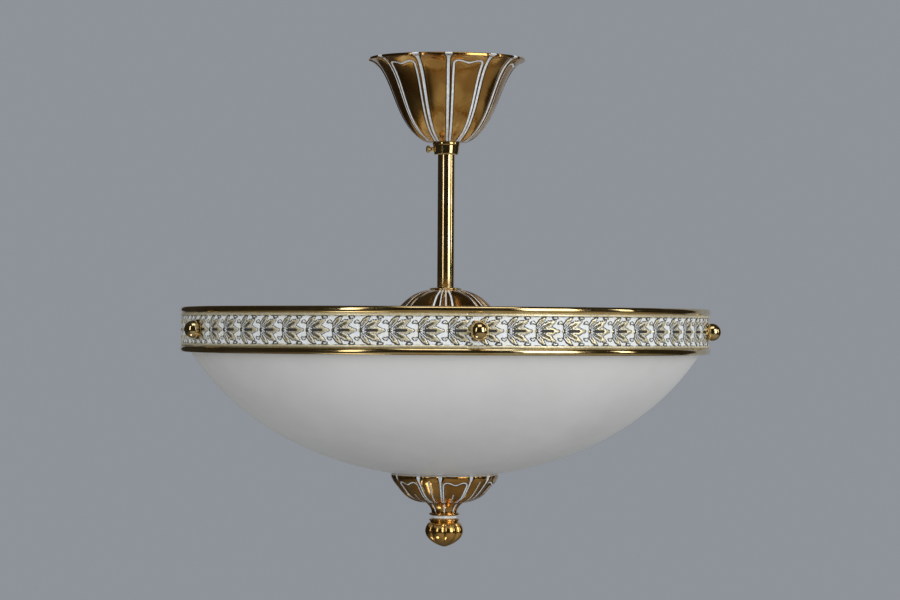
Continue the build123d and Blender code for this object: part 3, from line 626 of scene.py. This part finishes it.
def frieze_tile():
    """Height, gilding and shadow of one repeat: a knot and the leaves that fan out from it."""
    pitch = math.radians(SEGMENT / REPEATS) * MEAN_R
    u, v = np.meshgrid((np.arange(STEP_U) + 0.5) / STEP_U * pitch,
                       np.linspace(-HALF_STRIP, HALF_STRIP, STEP_V), indexing="ij")
    rise, second, gilt, hollows = (np.zeros_like(u) for _ in range(4))
    gap = np.full_like(u, FAR)
    for shift in (-pitch, 0.0, pitch):
        for one_leaf in both_sides(LEAVES):
            height, place, outside, hollow = leaf(u - shift, v, *one_leaf)
            over = height > rise
            second = np.where(over, rise, np.maximum(second, height))
            gilt = np.where(over, smooth(0.1, 0.45, place) * smooth(0.2, 0.5, height), gilt)
            hollows = np.where(over, hollow, hollows)
            rise = np.maximum(rise, height)
            gap = np.minimum(gap, outside)
        knot = 0.8 * np.sqrt(np.clip(1 - ((u - shift)**2 + v**2) / 2.2, 0, 1))
        gilt = np.where(knot > rise, 0.8, gilt)
        rise = np.maximum(rise, knot)

    # painted shade and shadow lie on the ground beside the leaves, deeper where a leaf stands just further
    # along the strip, where two leaves meet, and in their hollows
    shaded = smooth(0.15, 0.9, np.roll(rise, -2, 0) + np.roll(rise, -3, 0))
    hatch = 0.5 + 0.5 * np.sin(u * 2.6 + np.abs(v) * 3.4)
    beside = smooth(-0.15, 0.12, gap) * smooth(1.35, 0.5, gap)
    crease = np.exp(-((rise - second) / 0.10)**2) * smooth(0.10, 0.28, second)
    shadow = np.maximum(beside * (0.4 + 0.85 * shaded + 0.3 * hatch), np.maximum(crease, hollows))
    return rise - 0.35 * crease, gilt * (1 - crease), np.clip(shadow, 0, 1)


def frieze_segment(number, azimuth, tile):
    """One cast strip from ball to ball: its face with a lip at both edges, and its plain back."""
    fields = (np.tile(field, (REPEATS, 1)) for field in tile)
    rise, gilt, shadow = (np.vstack([field, field[:1]]) for field in fields)
    columns = len(rise)
    azimuths = np.linspace(azimuth + JOINT, azimuth + SEGMENT - JOINT, columns)
    angles = np.radians(azimuths)[:, None]
    v = np.linspace(-HALF_STRIP, HALF_STRIP, STEP_V)
    from_middle = np.abs(v)
    from_joint = np.minimum(azimuths - azimuths[0], azimuths[-1] - azimuths) * math.radians(1) * MEAN_R

    lip = smooth(10.45, 10.95, from_middle) - 0.55 * smooth(12.0, HALF_STRIP, from_middle)
    radius = GROUND_R + 1.15 * lip + rise * smooth(10.7, 9.9, from_middle) * 1.05
    radius = np.where(from_joint[:, None] < SEAT, np.minimum(radius, SEAT_R), radius)
    face = placed(radius, angles, ARM_Z + v)
    back = placed(BACK_R, angles, ARM_Z + v[[-1, 0]])

    # painted shade: a wavering dark band under each lip on top of the tile's shadow, and a middling dark over
    # the plain back
    wave = 0.08 * np.sin(np.arange(columns) * 0.41)[:, None]
    under_lip = np.exp(-((from_middle - 10.35 - wave) / 0.28)**2)
    high = np.maximum(gilt, 0.95 * lip)
    dark = np.clip(shadow * (1 - lip) + 0.75 * under_lip, 0, 1)
    plain_back = np.zeros((columns, 2))
    masks = {"high": np.hstack([high, plain_back]), "dark": np.hstack([dark, plain_back + 0.4])}
    make_piece(f"frieze_cast_{number}", np.concatenate([face, back], axis=1), frieze_finish, "root",
               [f"frieze_segment_{number}"], ends="caps", masks=masks, sharp=70)


def ball_rows(radius, centre):
    """A ball nut in section: a flat seat, most of a circle, and its far side."""
    seat = math.acos(-2.5 / radius)
    angles = np.linspace(seat, math.radians(2.0), 40)
    round_part = np.column_stack([radius * np.sin(angles), centre + radius * np.cos(angles)])
    foot_r, foot = round_part[0]
    return np.vstack([[(1.5, foot), (foot_r - 0.3, foot)], round_part, [(HAIR, centre + radius)]])


def arm_ends():
    """A rod, a scalloped rosette and a ball nut on each arm."""
    rosette = eased([
        (2.7, 208.62, 0), (7.4, 208.62, 0.2), (8.1, 208.75, 0.3), (8.1, 209.1, 0.3),
        (7.3, 209.75, 0.5), (6.5, 209.35, 0.4), (5.6, 209.85, 0.5), (2.7, 209.95, 0),
    ], 3)
    scallops, columns = 8, 144
    between = 1 - np.abs(np.sin(np.radians(around(columns) * scallops / 2)))
    scale = 1 - smooth(4.0, 7.6, rosette[:, :1]) * 0.115 * between
    ball = ball_rows(6.8, 212.6)
    rod = eased([(HAIR, 9.75, 0), (2.2, 9.75, 0.3), (2.5, 10.1, 0.2), (2.5, 213.0, 0.2), (HAIR, 213.0, 0)],
                3, closed=False)
    for number, azimuth in enumerate(ARMS, 1):
        make_piece(f"rosette_{number}", laid(turned(rosette, columns, scale), azimuth, ARM_Z),
                   polished, "root", ["rosettes"])
        make_piece(f"ball_{number}", laid(turned(ball, 64), azimuth, ARM_Z),
                   turned_brass, "root", ["ball_nuts"], ends="caps")
        make_piece(f"arm_rod_{number}", laid(turned(rod, 32), azimuth, ARM_Z),
                   polished, "root", [f"ring_arm_{number}"], ends="caps")


leaf_tile = frieze_tile()
for arm_number, arm_azimuth in enumerate(ARMS, 1):
    frieze_segment(arm_number, arm_azimuth, leaf_tile)
arm_ends()

# ---------------------------------------------------------------- lamps and lampholders
LAMPS = [42.8 + 120.0 * lamp for lamp in range(3)]
LAMP_Z = -254.0
HOLDER = (
    (3.0, 19.0, 0), (5.0, 19.0, 0.3), (5.0, 23.1, 0.1), (13.4, 23.1, 0.5), (14.0, 23.8, 0.5),
    (14.0, 26.0, 0.6), (17.2, 27.8, 1.6), (18.3, 31.5, 1.2), (18.0, 37.0, 0.3), (18.0, 38.0, 0.3),
    (18.8, 38.6, 0.4), (18.8, 41.0, 0.4), (18.0, 41.6, 0.3), (18.0, 58.0, 0.5), (19.0, 60.5, 0.6),
    (19.0, 68.8, 0.7), (18.2, 70.0, 0.6), (14.4, 70.0, 0.6), (13.6, 69.0, 0.5), (13.6, 45.05, 0.3),
    (3.0, 45.05, 0),
)


def lamp_glass_rows():
    """The pear-shaped glass of a lamp in section, from its cap to its crown."""
    pear = smooth_run([(15.0, 70.2), (30.0, 119.2), (6.0, 149.0)], (0.3, 1), (-1, 0.1), 56)
    return np.vstack([[(2.0, 68.6), (12.4, 68.6)], pear, [(3.0, 149.18), (HAIR, 149.2)]])


def lamp_cap_rows():
    """The lamp's cap in section: contact, insulator, and a shell with rounded threads."""
    turns, steps = 5, 7
    height = np.arange(turns * steps) / steps
    threads = np.column_stack([12.45 + 0.62 * np.cos(height * 2 * np.pi), 49.4 + 3.6 * height])
    return np.vstack([[(HAIR, 45.25), (2.8, 45.25), (4.6, 45.7), (6.0, 46.3), (9.5, 48.0)], threads,
                      [(12.9, 68.0), (13.1, 68.5), (2.0, 68.5), (HAIR, 68.5)]])


def lamps():
    """A porcelain holder at each place, with the glass and the cap of its lamp."""
    holder, glass, cap = eased(HOLDER), lamp_glass_rows(), lamp_cap_rows()
    for number, azimuth in enumerate(LAMPS, 1):
        lamp = f"lamp_{number}"
        make_piece(f"holder_{number}", laid(turned(holder, 96), azimuth, LAMP_Z),
                   porcelain, "root", [f"lampholder_{number}"])
        make_piece(f"lamp_glass_{number}", laid(turned(glass, 72), azimuth, LAMP_Z),
                   frosted, lamp, [lamp], ends="caps")
        make_piece(f"lamp_cap_{number}", laid(turned(cap, 72), azimuth, LAMP_Z),
                   lamp_cap, lamp, [lamp], ends="caps")


lamps()

# ---------------------------------------------------------------- bowl
BOWL_BOTTOM, BOWL_RIM_Z = -332.4, -229.5
BOWL_RIM_R, BOWL_HOLE_R, BOWL_WALL = 204.0, 7.2, 4.0
BOWL_DEPTH = 178.0               # half the height of the ellipse that the bowl is a part of
BOWL_WIDTH = BOWL_RIM_R / math.sin(math.acos(1 - (BOWL_RIM_Z - BOWL_BOTTOM) / BOWL_DEPTH))


def bowl_face(wall, count):
    """Places on the bowl's ellipse from its hole to its rim, inset by a wall."""
    width, depth, bottom = BOWL_WIDTH - wall, BOWL_DEPTH - wall, BOWL_BOTTOM + wall
    last = math.acos(1 - (BOWL_RIM_Z - bottom) / depth)
    angles = np.linspace(BOWL_HOLE_R / width, last, count)
    return np.column_stack([width * np.sin(angles), bottom + depth * (1 - np.cos(angles))])


def bowl():
    """The glass shell: outside, rounded rim and inside."""
    outer, inner = bowl_face(0.0, 110), bowl_face(BOWL_WALL, 90)
    rim, behind = outer[-1], inner[-1]
    lip = [rim - (0, 0.6), rim - (0.05, 0.7), rim - (0.6, 0.2), (rim + behind) / 2,
           behind + (0.6, -0.2), behind + (0.05, -0.7), behind - (0, 0.6)]
    rows = np.vstack([outer[:-1], lip, inner[-2::-1]])
    make_piece("bowl_opal", turned(rows, 288), opal, "bowl", ["glass_bowl"])


bowl()


# ---------------------------------------------------------------- finial
def finial():
    """Fluted neck, two astragals with patina between them, and a gadrooned knob."""
    neck = smooth_run([(15.2, -352.6), (11.6, -356.3), (10.2, -360.2)], (-0.8, -0.7), (-0.05, -1), 26)
    astragals = eased([
        (10.2, -360.2, 0), (11.2, -360.5, 0.5), (12.1, -361.1, 0.7), (12.1, -361.9, 0.7), (11.0, -362.6, 0.5),
        (9.8, -362.8, 0.3), (9.6, -363.8, 0.5), (9.8, -364.8, 0.3), (11.0, -365.1, 0.5), (12.0, -365.7, 0.7),
        (12.0, -366.5, 0.7), (11.2, -367.2, 0.5), (11.0, -367.6, 0.2), (11.6, -367.9, 0),
    ], 5, closed=False)[1:]
    knob = smooth_run([(11.6, -367.9), (15.6, -374.1), (1.2, -387.4)], (1, -0.45), (-1, -0.26), 70)
    rows = np.vstack([[(HAIR, -352.45), (14.6, -352.45)], neck, astragals, knob,
                      [(0.6, -387.5), (HAIR, -387.6)]])

    lobes, columns = 8, 384
    phase = around(columns) * lobes / 2
    on_lobe = np.abs(np.sin(np.radians(phase)))
    on_flute = np.abs(np.sin(np.radians(phase + 90)))
    height = rows[:, 1:2]
    in_knob = smooth(-368.2, -370.6, height) * (1 - 0.7 * smooth(-383.5, -387.4, height))
    in_neck = smooth(-352.7, -354.0, height) * smooth(-360.4, -359.4, height)
    scale = 1 - in_knob * (0.085 * (1 - on_lobe)**1.5 + 0.03 * (1 - on_lobe**0.5))
    scale = scale - in_neck * 0.055 * on_flute**10
    waist = np.exp(-((height + 363.8) / 0.95)**4)
    # patina in the neck's flutes and the waist; painted shade in the valleys between the knob's lobes
    masks = {"patina": np.clip(in_neck * on_flute**34 * 1.1 + waist, 0, 1),
             "dark": in_knob * smooth(0.10, 0.02, on_lobe) * 0.55}
    make_piece("finial_cast", turned(rows, columns, scale), cast_brass, "finial",
               ["finial"], ends="caps", sharp=45, masks=masks)


finial()

# ---------------------------------------------------------------- room, light and camera
# Metres from here on.
AIM_Z = -0.22
# Each light: azimuth, height, distance, width, length, watts, and the rays that it's hidden from.
LIGHTS = {
    "right_softbox": (44, 0.35, 2.6, 1.15, 2.3, 27, ()),
    "left_strip": (-39, 0.45, 2.6, 0.40, 2.1, 7, ()),
    "right_kicker": (80, 0.3, 2.4, 0.3, 1.2, 4, ()),
    "overhead": (8, 2.3, 1.2, 1.8, 1.4, 13, ()),
    "back_left": (-150, 0.5, 2.6, 0.5, 1.6, 6, ("visible_glossy",)),
    "back_right": (150, 0.5, 2.6, 0.5, 1.6, 6, ("visible_glossy",)),
    "low_card": (-72, -2.2, 0.9, 0.7, 0.5, 3, ("visible_diffuse",)),
    "front_fill": (-10, 0.55, 3.0, 2.0, 1.6, 17, ("visible_glossy",)),
}
BACKDROP, FILL = (0.272, 0.291, 0.320), (0.50, 0.50, 0.495)
DISC_SIDES = 96
FLOOR_R, FLOOR_Z = 13.0, -3.8
CARD_R, CARD_LOW, CARD_TOP, CEILING_CARD_Z = 5.0, -2.3, 3.4, 3.335


def area_light(name, azimuth, height, distance, width, length, watts, hidden_from):
    """A softbox at an azimuth round the pendant that faces it and isn't itself in the picture."""
    data = bpy.data.lights.new(name, "AREA")
    data.shape, data.size, data.size_y, data.energy = "RECTANGLE", width, length, watts
    light = put_in(name, data)
    place = placed(distance, math.radians(azimuth), height)
    light.location = place
    x, y, z = np.array([0, 0, AIM_Z]) - place
    light.rotation_euler = (math.atan2(math.hypot(x, y), -z), 0, math.atan2(-x, y))
    for rays in ("visible_camera", *hidden_from):
        setattr(light, rays, False)


def studio_world():
    """The backdrop, for what is seen, mirrored or seen through, and an even fill for other rays."""
    world = bpy.data.worlds.new("studio")
    bpy.context.scene.world = world
    world.use_nodes = True
    links, nodes = world.node_tree.links, world.node_tree.nodes
    nodes.clear()
    rays = nodes.new("ShaderNodeLightPath")
    seen = rays.outputs["Is Camera Ray"]
    for kind in ("Is Glossy Ray", "Is Transmission Ray"):
        either = nodes.new("ShaderNodeMath")
        either.operation = "MAXIMUM"
        links.new(seen, either.inputs[0])
        links.new(rays.outputs[kind], either.inputs[1])
        seen = either.outputs[0]
    mixed, output = nodes.new("ShaderNodeMixShader"), nodes.new("ShaderNodeOutputWorld")
    links.new(seen, mixed.inputs[0])
    for socket, colour in ((1, FILL), (2, BACKDROP)):
        light = nodes.new("ShaderNodeBackground")
        light.inputs["Color"].default_value = (*colour, 1)
        links.new(light.outputs[0], mixed.inputs[socket])
    links.new(mixed.outputs[0], output.inputs[0])


def disc(radius, height):
    """The corners of a level disc."""
    return placed(radius, np.radians(around(DISC_SIDES)), height).tolist()


def studio_floor():
    finish = Finish("studio_floor", roughness=0.85)
    cloud = finish.span(finish.noise(2.0), 0.3, 0.7)
    finish.colour(finish.blend(cloud, (0.60, 0.62, 0.64), (0.63, 0.65, 0.67)))
    mesh = bpy.data.meshes.new("floor")
    mesh.from_pydata(disc(FLOOR_R, FLOOR_Z), [], [list(range(DISC_SIDES))])
    mesh.materials.append(finish.material)
    put_in("floor", mesh)


def card(name, points, faces, low, high, light=None):
    """A card that only the polished metal reflects, a painted reflection; light is its share of the high
    colour by point, a painted light.
    """
    finish = Finish(name, roughness=0.95)
    share = finish.span(finish.noise(9.0), 0.3, 0.7) if light is None else finish.mask("light")
    finish.colour(finish.blend(share, low, high))
    mesh = bpy.data.meshes.new(name)
    mesh.from_pydata(points, [], faces)
    if light is not None:
        layer = mesh.attributes.new("light", "FLOAT", "POINT")
        layer.data.foreach_set("value", np.asarray(light, np.float32))
    mesh.materials.append(finish.material)
    piece = put_in(name, mesh)
    # hidden from the camera, from diffuse light and from shadows, so the card is only a painted reflection
    piece.visible_camera = piece.visible_diffuse = piece.visible_shadow = False


def cards():
    """Painted reflections: a dark sheet round most of the studio, a dark ceiling, and a floor that is painted
    bright in front.
    """
    count = 60
    angles = np.radians(np.linspace(-160, 135, count))
    wall = np.vstack([placed(CARD_R, angles, height) for height in (CARD_LOW, CARD_TOP)])
    strips = [[i, i + 1, i + 1 + count, i + count] for i in range(count - 1)]
    # painted reflection: a near-black sheet that the metal mirrors on most sides
    card("painted_dark_reflection_wall", wall.tolist(), strips, (0.030, 0.024, 0.017), (0.045, 0.037, 0.027))
    # painted reflection: a dark ceiling
    card("painted_dark_reflection_ceiling", disc(CARD_R, CEILING_CARD_Z), [list(range(DISC_SIDES))],
         (0.055, 0.048, 0.036), (0.085, 0.075, 0.058))
    # painted reflection of a lit floor: a painted pool of light in front, near-black behind
    azimuth = (around(DISC_SIDES) + 180) % 360 - 180
    light = smooth(-62, -12, azimuth) * smooth(150, 80, azimuth)
    fan = [[i, (i + 1) % DISC_SIDES, DISC_SIDES] for i in range(DISC_SIDES)]
    card("painted_reflection_floor", [*disc(CARD_R, CARD_LOW), (0, 0, CARD_LOW)], fan,
         (0.03, 0.025, 0.018), (0.60, 0.55, 0.46), [*light, 0.3])


def place_camera():
    """The photograph's place and lens."""
    data = bpy.data.cameras.new("camera")
    data.lens, data.sensor_width, data.clip_start, data.clip_end = 127.5, 36.0, 0.05, 60.0
    camera = put_in("camera", data)
    camera.location = (0.0037, -2.53, -0.216)
    camera.rotation_euler = (math.radians(90.545), math.radians(-0.33), 0)
    bpy.context.scene.camera = camera
    bpy.context.scene.view_settings.view_transform = "Standard"


for light_name, light_plan in LIGHTS.items():
    area_light(light_name, *light_plan)
studio_world()
studio_floor()
cards()
place_camera()
